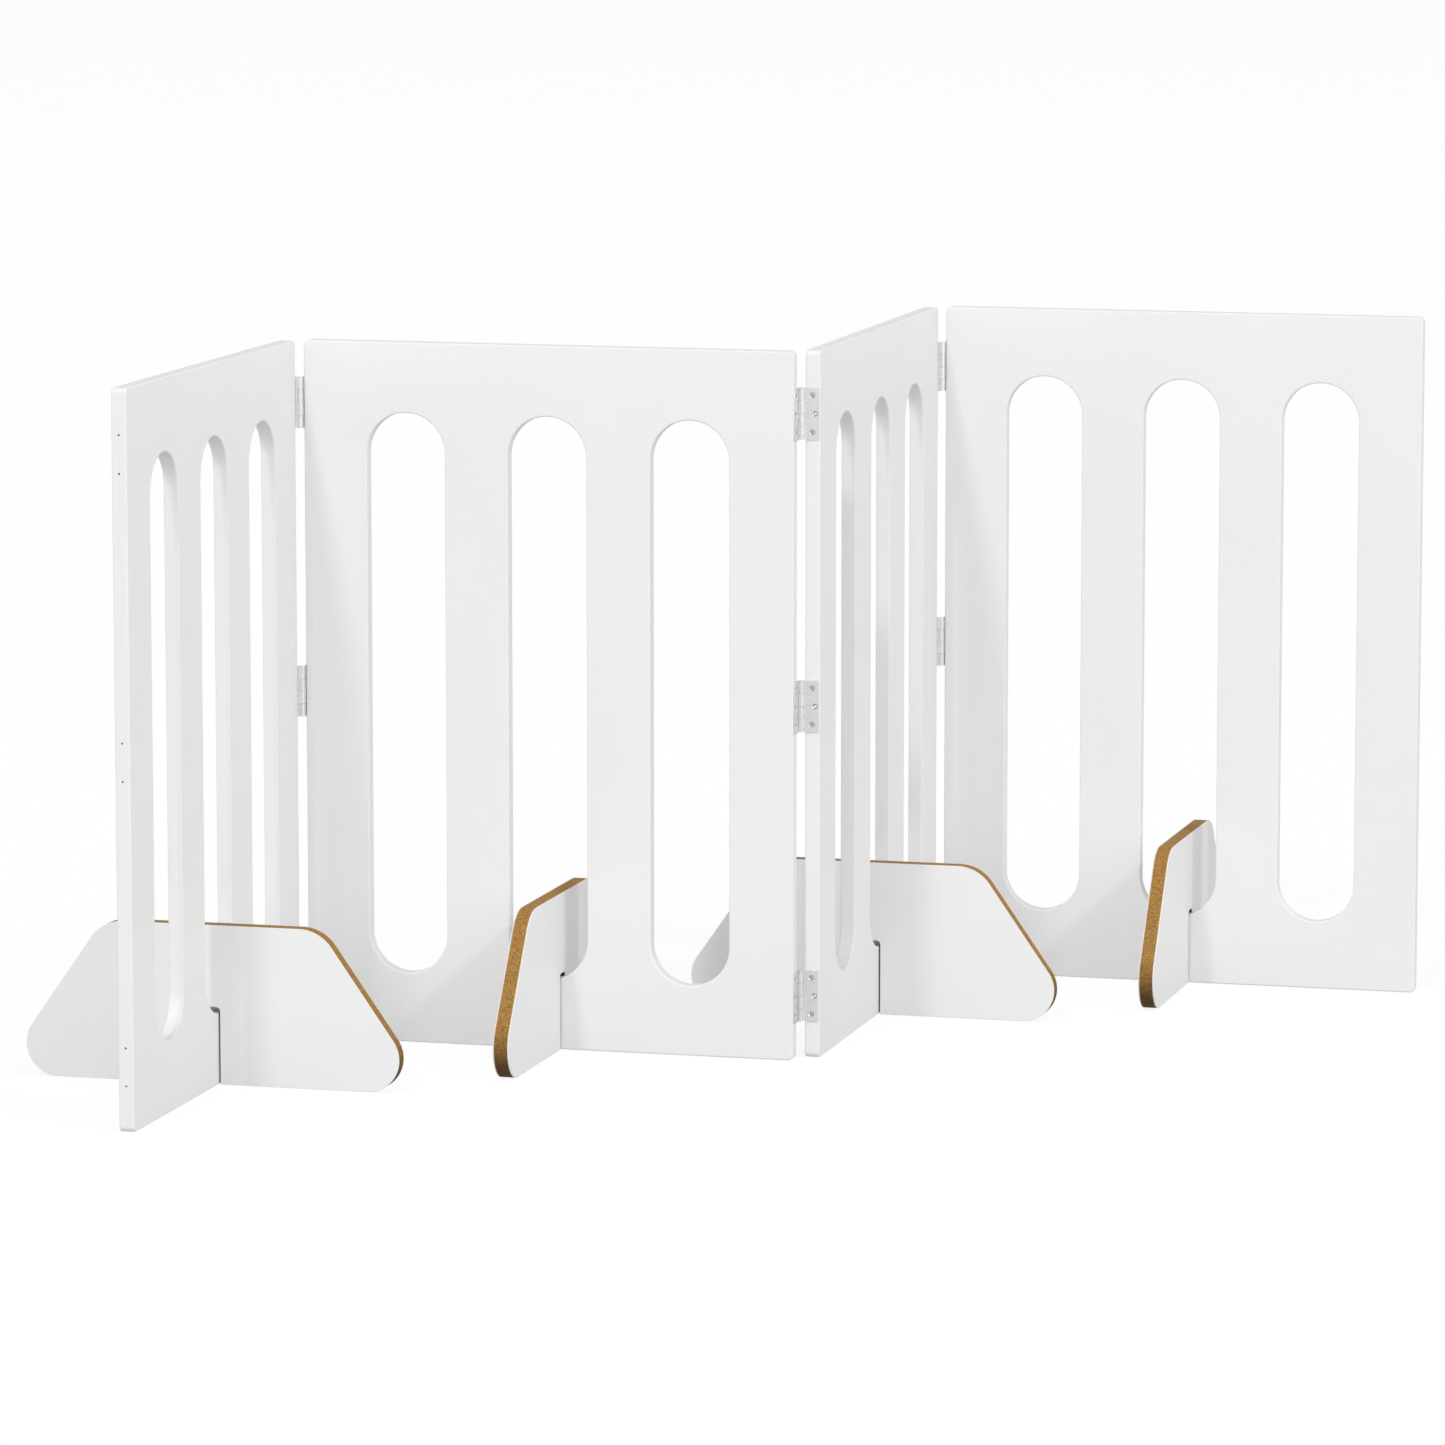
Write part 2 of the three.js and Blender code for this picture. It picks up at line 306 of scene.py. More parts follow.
@dataclass(frozen=True)
class FibreboardFinish:
    """The bare cut edge of fibreboard: mottled brown, with painted shade darkening it near the floor and in
    the foot's notch.
    """

    name: str = "bare_fibreboard_edge"
    colour: Colour = (0.50, 0.276, 0.078)
    dark_colour: Colour = (0.215, 0.100, 0.022)
    skin_colour: Colour = (0.34, 0.212, 0.085)
    underside_shade_colour: Colour = (0.060, 0.031, 0.011)
    notch_shade_colour: Colour = (0.030, 0.018, 0.009)
    paint_line: Colour = (0.92, 0.86, 0.76)
    roughness_range: Window = (0.74, 0.88)
    specular: float = 0.25
    mottle_size: float = 0.0027
    mottle_window: Window = (0.36, 0.66)
    mottle_share: float = 0.45
    fibre_size: float = 0.0012
    fibre_stretch: Colour = (1.0, 1.0, 0.55)
    fibre_depth: float = 0.00018
    fleck_window: Window = (0.47, 0.62)
    fleck_share: float = 0.72
    skin_window: Window = (0.6, 1.0)
    skin_share: float = 0.5
    underside_shade_heights: Window = (0.014, 0.055)
    underside_shade_share: float = 0.9
    underside_shade_grain: Window = (0.88, 1.0)
    grain_window: Window = (0.2, 0.6)
    gloss_window: Window = (0.3, 0.7)
    line_window: Window = (0.81, 0.90)
    line_share: float = 0.92
    notch_shade_share: float = 0.9

    def material(self) -> Material:
        """Builds the edge: mottling, short fibres, a dense skin, painted shade low down, a line of paint,
        painted shade in the notch.

        Returns:
            The material.
        """
        material, graph, shader = surface_graph(self.name)
        place = graph.place()
        across = graph.math("ABSOLUTE", graph.attribute("across"))
        fibre = graph.noise(graph.stretched(place, self.fibre_stretch), self.fibre_size, 3.0, 0.7)
        mottle_noise = graph.noise(place, self.mottle_size, 3.0, 0.62)
        mottle = graph.remap(mottle_noise, self.mottle_window, (0.0, self.mottle_share))
        flecks = graph.remap(fibre, self.fleck_window, (0.0, self.fleck_share))
        height = graph.add("ShaderNodeSeparateXYZ", Vector=place).outputs["Z"]
        # Painted shade: the edge darkens towards the floor, where the board curves under, broken up by the
        # fibre.
        low = graph.remap(height, self.underside_shade_heights, (self.underside_shade_share, 0.0))
        tone = graph.mix(graph.math("ADD", mottle, flecks), self.colour, self.dark_colour)
        layers = (
            (graph.remap(across, self.skin_window, (0.0, self.skin_share)), self.skin_colour),
            (graph.times(low, graph.remap(fibre, self.grain_window, self.underside_shade_grain)), self.underside_shade_colour),
            (graph.remap(across, self.line_window, (0.0, self.line_share)), self.paint_line),
            # Painted shade in the foot's notch.
            (graph.times(graph.attribute("scorched"), self.notch_shade_share), self.notch_shade_colour),
        )
        for share, colour in layers:
            tone = graph.mix(share, tone, colour)
        graph.set(
            shader,
            Base_Color=tone,
            Roughness=graph.remap(fibre, self.gloss_window, self.roughness_range),
            Normal=graph.bump(graph.times(fibre, self.fibre_depth)),
            Specular_IOR_Level=self.specular,
        )
        return material


@dataclass(frozen=True)
class SteelFinish:
    """Bright plated steel with fine drawing lines along one direction and a faint cloudy bloom."""

    name: str
    colour: Colour
    dull_colour: Colour
    roughness: float
    line_stretch: Colour = (1.0, 1.0, 0.035)
    line_size: float = 0.00026
    line_window: Window = (0.35, 0.68)
    line_depth: float = 0.000009
    line_share: float = 0.55
    bloom_size: float = 0.007
    bloom_window: Window = (0.35, 0.7)
    gloss_gain: float = 0.08
    gloss_loss: float = 0.12
    hollow_shade_colour: Colour = (0.10, 0.10, 0.10)

    def material(self) -> Material:
        """Builds the metal: drawing lines in colour, gloss and height, a bloom, and painted shade in its
        hollows.

        Returns:
            The material.
        """
        material, graph, shader = surface_graph(self.name)
        place = graph.place()
        lines = graph.noise(graph.stretched(place, self.line_stretch), self.line_size)
        drawn = graph.remap(lines, self.line_window, (0.0, self.line_share))
        cloud = graph.noise(place, self.bloom_size, 4.0, 0.6)
        bloom = graph.remap(cloud, self.bloom_window, (0.0, 1.0 - self.line_share))
        wear = graph.math("ADD", drawn, bloom)
        plate = graph.mix(wear, self.colour, self.dull_colour)
        gloss = (self.roughness - self.gloss_gain, self.roughness + self.gloss_loss)
        graph.set(
            shader,
            # Painted shade: the "cavity" attribute darkens the hollows of holes and screw recesses.
            Base_Color=graph.mix(graph.attribute("cavity"), plate, self.hollow_shade_colour),
            Roughness=graph.remap(wear, (0.0, 1.0), gloss),
            Normal=graph.bump(graph.times(lines, self.line_depth)),
            Metallic=1.0,
        )
        return material


# ---- Meshes ----


@dataclass(frozen=True)
class Corner:
    """One corner of an outline and the radius that rounds it."""

    x: float
    z: float
    radius: float = 0.0


@dataclass(frozen=True)
class RoundedOutline:
    """A closed outline through corners given anticlockwise, each one sharp or rounded by an arc."""

    corners: tuple[Corner, ...]
    steps: int = 20

    def points(self, inset: float) -> list[Point]:
        """Works out the outline's points.

        Args:
            inset: How far the outline has moved into the material.

        Returns:
            The points, anticlockwise.
        """
        found: list[Point] = []
        count = len(self.corners)
        for index, corner in enumerate(self.corners):
            here = Vector((corner.x, corner.z))
            before = self.corners[index - 1]
            after = self.corners[(index + 1) % count]
            along_in = (here - Vector((before.x, before.z))).normalized()
            along_out = (Vector((after.x, after.z)) - here).normalized()
            inward_in = Vector((-along_in.y, along_in.x))
            inward_out = Vector((-along_out.y, along_out.x))
            moved = here + inset * (inward_in + inward_out) / (1.0 + inward_in.dot(inward_out))
            turn = along_in.cross(along_out)
            found.extend(self._arc(moved, along_in, along_out, turn, corner.radius, inset))
        return found

    def _arc(
        self, corner: Vector, along_in: Vector, along_out: Vector, turn: float, radius: float, inset: float
    ) -> list[Point]:
        """Works out one corner's arc.

        Args:
            corner: The corner, already moved by inset.
            along_in: The direction in which the outline arrives.
            along_out: The direction in which it leaves.
            turn: The sine of the turn between them, positive to the left.
            radius: The corner's radius before the move.
            inset: How far the outline has moved.

        Returns:
            The arc's points, or the corner itself where it is sharp.
        """
        if radius == 0.0:
            return [(corner.x, corner.y)]
        side = 1.0 if turn > 0.0 else -1.0
        rounded = radius - side * inset
        half_turn = abs(math.asin(max(-1.0, min(1.0, turn)))) / 2.0
        if along_in.dot(along_out) < 0.0:
            half_turn = math.pi / 2.0 - half_turn
        start = corner - along_in * rounded * math.tan(half_turn)
        centre = start + side * rounded * Vector((-along_in.y, along_in.x))
        first = math.atan2(start.y - centre.y, start.x - centre.x)
        sweep = side * 2.0 * half_turn
        angles = [first + sweep * step / self.steps for step in range(self.steps + 1)]
        return [(centre.x + rounded * math.cos(a), centre.y + rounded * math.sin(a)) for a in angles]


@dataclass(frozen=True)
class SlotOutline:
    """A long hole with round ends, upright in the board."""

    centre_x: float
    low_z: float
    high_z: float
    width: float
    steps: int = 44

    def points(self, inset: float) -> list[Point]:
        """Works out the hole's points.

        Args:
            inset: How far its wall has moved into the material.

        Returns:
            The points, anticlockwise.
        """
        radius = self.width / 2.0
        grown = radius + inset
        found: list[Point] = []
        for middle, first in ((self.high_z - radius, 0.0), (self.low_z + radius, math.pi)):
            for step in range(self.steps + 1):
                angle = first + math.pi * step / self.steps
                found.append((self.centre_x + grown * math.cos(angle), middle + grown * math.sin(angle)))
        return found


@dataclass(frozen=True)
class Sheet:
    """A flat board cut to an outline with holes, its edges eased by a small round on both faces."""

    outline: RoundedOutline
    holes: tuple[SlotOutline, ...]
    thickness: float
    ease: float
    round_steps: int
    support: float

    def rings(self) -> list[Point]:
        """Works out the edge's profile.

        Returns:
            Its (inset, y) pairs, from the face at -y to the face at +y.
        """
        half = self.thickness / 2.0
        lower = [(self.ease + self.support, -half)]
        for step in range(self.round_steps + 1):
            angle = math.pi / 2.0 * step / self.round_steps
            lower.append((self.ease * (1.0 - math.sin(angle)), -half + self.ease * (1.0 - math.cos(angle))))
        lower.append((0.0, -half + self.ease + self.support))
        return lower + [(inset, -y) for inset, y in reversed(lower)]

    def build(self, name: str) -> Mesh:
        """Builds the board as a closed mesh around x = 0 and y = 0, with its edge marked by two attributes.

        Args:
            name: The mesh's name.

        Returns:
            The mesh, with CUT_EDGE faces on the flat of the edge and FACE faces elsewhere.
        """
        work = bmesh.new()
        cut_edge = work.verts.layers.float.new("cut_edge")
        across = work.verts.layers.float.new("across")
        rings = self.rings()
        face_rings = (0, len(rings) - 1)
        contours = [self.outline, *self.holes]
        caps: dict[int, list[list[BMVert]]] = {index: [] for index in face_rings}
        for contour in contours:
            loops: list[list[BMVert]] = []
            for index, (inset, y) in enumerate(rings):
                loop = [work.verts.new((x, y, z)) for x, z in contour.points(inset)]
                for vert in loop:
                    vert[cut_edge] = 0.0 if index in face_rings else 1.0
                    vert[across] = 2.0 * y / self.thickness
                loops.append(loop)
            self._wall(work, loops)
            for index in face_rings:
                caps[index].append(loops[index])
        for loops in caps.values():
            fill_flat(work, loops)
        bmesh.ops.recalc_face_normals(work, faces=work.faces)
        return finished_mesh(work, name)

    def _wall(self, work: BMesh, loops: list[list[BMVert]]) -> None:
        """Joins consecutive rings with quads, and marks those on the flat of the edge.

        Args:
            work: The mesh being built.
            loops: The rings of one contour, in the order of rings().
        """
        flat_from = self.round_steps + 1
        flat_to = len(loops) - 2 - self.round_steps
        for index in range(len(loops) - 1):
            is_flat = flat_from <= index < flat_to
            for face in join_loops(work, loops[index], loops[index + 1]):
                face.material_index = Surface.CUT_EDGE.value if is_flat else Surface.FACE.value


def join_loops(
    work: BMesh, first: Sequence[BMVert], second: Sequence[BMVert]
) -> list[BMFace]:
    """Joins two closed loops of the same length with quads.

    Args:
        work: The mesh being built.
        first: One loop.
        second: The other loop.

    Returns:
        The new faces.
    """
    count = len(first)
    faces = []
    for index in range(count):
        after = (index + 1) % count
        faces.append(work.faces.new((first[index], first[after], second[after], second[index])))
    return faces


def fill_flat(work: BMesh, loops: Sequence[Sequence[BMVert]]) -> None:
    """Fills the flat region between an outer loop and the loops of its holes with triangles.

    Args:
        work: The mesh being built.
        loops: The outer loop and then the holes' loops.
    """
    verts = [vert for loop in loops for vert in loop]
    for triangle in tessellate_polygon([[vert.co for vert in loop] for loop in loops]):
        work.faces.new([verts[index] for index in triangle])


def finished_mesh(work: BMesh, name: str) -> Mesh:
    """Turns the working mesh into a smooth-shaded one with hard edges where the surface turns sharply.

    Args:
        work: The working mesh, which is freed.
        name: The new mesh's name.

    Returns:
        The new mesh.
    """
    mesh = bpy.data.meshes.new(name)
    work.to_mesh(mesh)
    work.free()
    mesh.shade_smooth()
    mesh.set_sharp_from_angle(angle=SHARP_TURN)
    return mesh


def lathe(work: BMesh, profile: Sequence[Point], steps: int) -> None:
    """Turns a profile about the z axis into a closed skin.

    Args:
        work: The mesh being built.
        profile: (radius, z) points; a radius of 0 makes a pole.
        steps: How many points go round.
    """
    loops: list[list[BMVert]] = []
    for radius, z in profile:
        if radius == 0.0:
            loops.append([work.verts.new((0.0, 0.0, z))])
            continue
        angles = [2.0 * math.pi * step / steps for step in range(steps)]
        loops.append([work.verts.new((radius * math.cos(a), radius * math.sin(a), z)) for a in angles])
    for first, second in zip(loops, loops[1:]):
        if len(first) == 1 or len(second) == 1:
            pole, rim = (first[0], second) if len(first) == 1 else (second[0], first)
            for index, vert in enumerate(rim):
                work.faces.new((pole, vert, rim[(index + 1) % steps]))
        else:
            join_loops(work, first, second)
    bmesh.ops.recalc_face_normals(work, faces=work.faces)


def evaluated_mesh(obj: Object, name: str) -> Mesh:
    """Applies an object's modifiers and removes the object.

    Args:
        obj: The object.
        name: The new mesh's name.

    Returns:
        Its finished mesh.
    """
    bpy.context.view_layer.update()
    graph = bpy.context.evaluated_depsgraph_get()
    mesh = bpy.data.meshes.new_from_object(obj.evaluated_get(graph), depsgraph=graph)
    mesh.name = name
    bpy.data.objects.remove(obj)
    return mesh


def loose_object(name: str, mesh: Mesh) -> Object:
    """Makes an object of a mesh and puts it in the scene.

    Args:
        name: The object's name.
        mesh: The mesh.

    Returns:
        The object.
    """
    obj = bpy.data.objects.new(name, mesh)
    bpy.context.scene.collection.objects.link(obj)
    return obj


def place_piece(
    name: str,
    mesh: Mesh,
    materials: Iterable[Material],
    body: str,
    nodes: Iterable[str],
) -> Object:
    """Makes a finished piece of a mesh that is already in place, and ties it to the frame.

    Args:
        name: The piece's name.
        mesh: Its mesh, in the frame's own coordinates.
        materials: The materials of its slots, in order.
        body: The body that it rides on.
        nodes: The plain solids that it takes the place of.

    Returns:
        The piece.
    """
    # A mesh that already carries its materials keeps them, and with them each face's slot.
    if not mesh.materials:
        for material in materials:
            mesh.materials.append(material)
    piece = loose_object(name, mesh)
    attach(piece, body)
    names = list(nodes)
    if names:
        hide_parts(*names)
    LOG.info("%s: %d faces on %s", name, len(mesh.polygons), body)
    return piece


def body_of_node(node: str) -> str:
    """Returns the name of the body that holds a node."""
    bodies = frame["record"]["behaviour"]["bodies"]
    return next(body for body, members in bodies.items() if node in members)


@dataclass(frozen=True)
class Upright:
    """Where an upright board stands: the middle of its box, and the way its long side runs."""

    centre: Vector
    length: float
    height: float
    thickness: float
    turn: float

    @classmethod
    def of_node(cls, node: str) -> "Upright":
        """Reads a board's place and size from the box of its node.

        Args:
            node: The plain solid's name.

        Returns:
            Where the board stands.
        """
        low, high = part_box(node)
        size = high - low
        runs_along_y = size.y > size.x
        return cls(
            centre=Vector(((low.x + high.x) / 2.0, (low.y + high.y) / 2.0, low.z)),
            length=max(size.x, size.y),
            height=size.z,
            thickness=min(size.x, size.y),
            turn=math.pi / 2.0 if runs_along_y else 0.0,
        )

    @property
    def matrix(self) -> Matrix:
        """The move from the board's own coordinates to the frame's."""
        return Matrix.Translation(self.centre) @ Matrix.Rotation(self.turn, 4, "Z")


# ---- Geometry node trees ----


class RepeatTree:
    """A geometry node tree with named inputs, and the means to run it once on an object."""

    def __init__(self, name: str, inputs: dict[str, tuple[str, Any]]) -> None:
        """Makes the tree and its interface.

        Args:
            name: The tree's name.
            inputs: Input name to its socket type and default value.
        """
        self.tree = bpy.data.node_groups.new(name, "GeometryNodeTree")
        self.graph = Graph(self.tree)
        face = self.tree.interface
        face.new_socket("Geometry", in_out="INPUT", socket_type="NodeSocketGeometry")
        face.new_socket("Geometry", in_out="OUTPUT", socket_type="NodeSocketGeometry")
        for key, (kind, value) in inputs.items():
            socket = face.new_socket(key, in_out="INPUT", socket_type=kind)
            if value is not None:
                socket.default_value = value
        self.entry = self.graph.add("NodeGroupInput").outputs

    def close(self, instances: NodeSocket) -> None:
        """Ends the tree in Realize Instances and Set Material.

        Args:
            instances: The socket of what the tree has made.
        """
        realized = self.graph.add("GeometryNodeRealizeInstances", Geometry=instances)
        dressed = self.graph.add("GeometryNodeSetMaterial", Geometry=realized.outputs[0])
        self.graph.feed(dressed.inputs["Material"], self.entry["Material"])
        self.graph.add("NodeGroupOutput", Geometry=dressed.outputs[0])

    def run(self, carrier: Object, name: str, values: dict[str, Any]) -> Mesh:
        """Runs the tree on the carrier and returns the result as a plain mesh.

        Args:
            carrier: The object that the tree works on, which is removed.
            name: The new mesh's name.
            values: Input name to its value, for the inputs that differ from their defaults.

        Returns:
            The finished mesh, with no modifier left.
        """
        modifier = carrier.modifiers.new(self.tree.name, "NODES")
        modifier.node_group = self.tree
        for item in self.tree.interface.items_tree:
            if item.in_out == "INPUT" and item.name in values:
                modifier[item.identifier] = values[item.name]
        return evaluated_mesh(carrier, name)


def pilot_drill_tree() -> RepeatTree:
    """Builds the tree that drills three pairs of blind pilot holes into one end of a board.

    Returns:
        The tree.
    """
    float_kind = "NodeSocketFloat"
    tree = RepeatTree(
        "pilot_drill",
        {
            "Low Pair": ("NodeSocketVector", None),
            "High Pair": ("NodeSocketVector", None),
            "Pair Count": ("NodeSocketInt", 3),
            "Hole Spacing": (float_kind, 36.0 * MM),
            "Hole Radius": (float_kind, 1.15 * MM),
            "Hole Depth": (float_kind, 15.0 * MM),
            "Material": ("NodeSocketMaterial", None),
        },
    )
    graph = tree.graph
    entry = tree.entry
    half = graph.math("MULTIPLY", entry["Hole Spacing"], 0.5)
    up = graph.add("ShaderNodeCombineXYZ", Z=half).outputs[0]
    down = graph.add("ShaderNodeCombineXYZ", Z=graph.math("MULTIPLY", half, -1.0)).outputs[0]
    ends = {"mode": "END_POINTS"}
    pair = graph.add("GeometryNodeMeshLine", ends, Count=2, Start_Location=down, Offset=up)
    column = graph.add(
        "GeometryNodeMeshLine",
        ends,
        Count=entry["Pair Count"],
        Start_Location=entry["Low Pair"],
        Offset=entry["High Pair"],
    )
    spread = graph.add("GeometryNodeInstanceOnPoints", Points=column.outputs[0], Instance=pair.outputs[0])
    points = graph.add("GeometryNodeRealizeInstances", Geometry=spread.outputs[0])
    depth = graph.math("MULTIPLY", entry["Hole Depth"], 2.0)
    drill = graph.add("GeometryNodeMeshCylinder", Vertices=20, Radius=entry["Hole Radius"], Depth=depth)
    drills = graph.add(
        "GeometryNodeInstanceOnPoints",
        Points=points.outputs[0],
        Instance=drill.outputs[0],
        Rotation=(0.0, math.pi / 2.0, 0.0),
    )
    cutters = graph.add("GeometryNodeRealizeInstances", Geometry=drills.outputs[0])
    cut = graph.add("GeometryNodeMeshBoolean", {"operation": "DIFFERENCE", "solver": "EXACT"})
    graph.feed(cut.inputs["Mesh 1"], entry["Geometry"])
    graph.feed(cut.inputs["Mesh 2"], cutters.outputs[0])
    tree.close(cut.outputs[0])
    return tree


def screw_driving_tree() -> RepeatTree:
    """Builds the tree that drives one screw at each point, along its heading, each turned at random.

    Returns:
        The tree.
    """
    tree = RepeatTree(
        "screw_driving",
        {
            "Screw": ("NodeSocketObject", None),
            "Turn Seed": ("NodeSocketInt", 7),
            "Material": ("NodeSocketMaterial", None),
        },
    )
    graph = tree.graph
    heading = graph.add("GeometryNodeInputNamedAttribute", {"data_type": "FLOAT_VECTOR"}, Name="heading")
    aimed = graph.add("FunctionNodeAlignRotationToVector", {"axis": "Z"}, Vector=heading.outputs[0])
    chance = graph.add("FunctionNodeRandomValue", {"data_type": "FLOAT"})
    chance.inputs[3].default_value = math.pi / 2.0
    graph.feed(chance.inputs["Seed"], tree.entry["Turn Seed"])
    spin = graph.add("FunctionNodeAxisAngleToRotation", Angle=chance.outputs[1])
    turned = graph.add("FunctionNodeRotateRotation", {"rotation_space": "LOCAL"}, Rotation=aimed.outputs[0])
    graph.feed(turned.inputs[1], spin.outputs[0])
    screw = graph.add("GeometryNodeObjectInfo", Object=tree.entry["Screw"])
    driven = graph.add(
        "GeometryNodeInstanceOnPoints",
        Points=tree.entry["Geometry"],
        Instance=screw.outputs["Geometry"],
        Rotation=turned.outputs[0],
    )
    tree.close(driven.outputs[0])
    return tree


# ---- Sub-assemblies ----


@dataclass
class StandingPart:
    """A numbered board or foot that stands where its plain solid stands."""

    kind: ClassVar[str] = ""
    number: int
    paint: Material
    place: Upright = field(init=False)

    def __post_init__(self) -> None:
        """Reads the part's place from the frame."""
        self.place = Upright.of_node(self.node)

    @property
    def node(self) -> str:
        """The plain solid's name."""
        return f"{self.kind}_{self.number}"


@dataclass
class SlottedBoard(StandingPart):
    """One white board of the gate, with three long slots and, on a free end, the pilot holes for a hinge."""

    kind: ClassVar[str] = "panel"
    drill: RepeatTree
    slot_count: int = 3
    slot_width: float = 80.0 * MM
    rail: float = 70.0 * MM
    corner_radius: float = 5.5 * MM
    ease: float = 1.6 * MM
    pair_height: float = 62.0 * MM
    hole_from_knuckle_face: float = 7.3 * MM
    corner_steps: int = 12
    ease_steps: int = 6
    support: float = 0.9 * MM

    def free_end(self) -> float | None:
        """Returns the x of the end that carries no hinge, or None where both do."""
        side = {1: -1.0, 4: 1.0}.get(self.number)
        return None if side is None else side * self.place.length / 2.0

    def sheet(self) -> Sheet:
        """Works out the board's outline and slots from its box.

        Returns:
            The sheet to cut.
        """
        half = self.place.length / 2.0
        top = self.place.height
        bar = (self.place.length - self.slot_count * self.slot_width) / (self.slot_count + 1)
        pitch = bar + self.slot_width
        first = -half + bar + self.slot_width / 2.0
        spots = ((-half, 0.0), (half, 0.0), (half, top), (-half, top))
        corners = tuple(Corner(x, z, self.corner_radius) for x, z in spots)
        return Sheet(
            outline=RoundedOutline(corners, self.corner_steps),
            holes=tuple(
                SlotOutline(first + index * pitch, self.rail, top - self.rail, self.slot_width)
                for index in range(self.slot_count)
            ),
            thickness=self.place.thickness,
            ease=self.ease,
            round_steps=self.ease_steps,
            support=self.support,
        )

    def build(self) -> Object:
        """Cuts, drills and paints the board.

        Returns:
            The finished piece.
        """
        mesh = self.sheet().build(f"board_{self.number}")
        end = self.free_end()
        if end is not None:
            y = self.place.thickness / 2.0 - self.hole_from_knuckle_face
            values = {
                "Low Pair": (end, y, self.pair_height),
                "High Pair": (end, y, self.place.height - self.pair_height),
                "Material": self.paint,
            }
            mesh = self.drill.run(loose_object("board_blank", mesh), mesh.name, values)
            mesh.set_sharp_from_angle(angle=SHARP_TURN)
        mesh.transform(self.place.matrix)
        paints = (self.paint, self.paint)
        return place_piece(f"board_{self.number}", mesh, paints, self.node, [self.node])


@dataclass
class StraddleFoot(StandingPart):
    """A lift-off foot: a board with sloping flanks, notched from below to straddle the gate's lower rail."""

    kind: ClassVar[str] = "foot"
    bare_edge: Material
    flank_angle: float = math.radians(35.0)
    bottom_radius: float = 32.0 * MM
    top_radius: float = 40.0 * MM
    notch_radius: float = 4.0 * MM
    notch_gap: float = 1.5 * MM
    notch_headroom: float = 4.0 * MM
    notch_margin: float = 2.0 * MM
    rail: float = 70.0 * MM
    slot_width: float = 80.0 * MM
    ease: float = 0.45 * MM
    corner_steps: int = 22
    ease_steps: int = 3
    support: float = 0.5 * MM

    def panel(self) -> Upright:
        """Returns where the board that the foot carries stands."""
        return Upright.of_node(f"{SlottedBoard.kind}_{self.number}")

    def notch_half(self) -> float:
        """Returns half the width of the notch, which leaves a gap beside the board."""
        return self.panel().thickness / 2.0 + self.notch_gap

    def notch_height(self) -> float:
        """Works out the notch from the rail's curved top where the foot's far face crosses it.

        Returns:
            The notch's height above the floor.
        """
        shift = (self.place.centre - self.panel().centre).length
        reach = shift + self.place.thickness / 2.0
        radius = self.slot_width / 2.0
        return self.rail + radius - math.sqrt(radius**2 - reach**2) + self.notch_headroom

    def sheet(self) -> Sheet:
        """Works out the foot's outline from its box and the rail that it straddles.

        Returns:
            The sheet to cut.
        """
        corner_angle = math.pi / 2.0 - self.flank_angle
        low = self.place.length / 2.0 - self.bottom_radius + self.bottom_radius / math.tan(corner_angle / 2.0)
        high = low - math.tan(self.flank_angle) * self.place.height
        notch = self.notch_half()
        top = self.place.height
        notch_top = self.notch_height()
        corners = (
            Corner(notch, 0.0),
            Corner(low, 0.0, self.bottom_radius),
            Corner(high, top, self.top_radius),
            Corner(-high, top, self.top_radius),
            Corner(-low, 0.0, self.bottom_radius),
            Corner(-notch, 0.0),
            Corner(-notch, notch_top, self.notch_radius),
            Corner(notch, notch_top, self.notch_radius),
        )
        return Sheet(
            outline=RoundedOutline(corners, self.corner_steps),
            holes=(),
            thickness=self.place.thickness,
            ease=self.ease,
            round_steps=self.ease_steps,
            support=self.support,
        )

    def build(self) -> Object:
        """Cuts the foot, paints its faces and leaves its cut edges bare.

        Returns:
            The finished piece.
        """
        mesh = self.sheet().build(f"foot_plate_{self.number}")
        # The notch's walls get painted shade.
        self._mark_notch_shade(mesh)
        mesh.transform(self.place.matrix)
        finishes = (self.paint, self.bare_edge)
        return place_piece(mesh.name, mesh, finishes, self.node, [self.node])

    def _mark_notch_shade(self, mesh: Mesh) -> None:
        """Marks the notch's walls with an attribute along which the bare edge's finish paints shade.

        Args:
            mesh: The foot's mesh, before it is moved to its place.
        """
        reach = self.notch_half() + self.notch_margin
        top = self.notch_height() + self.notch_margin
        marks = [1.0 if abs(vert.co.x) < reach and vert.co.z < top else 0.0 for vert in mesh.vertices]
        mesh.attributes.new("scorched", "FLOAT", "POINT").data.foreach_set("value", marks)


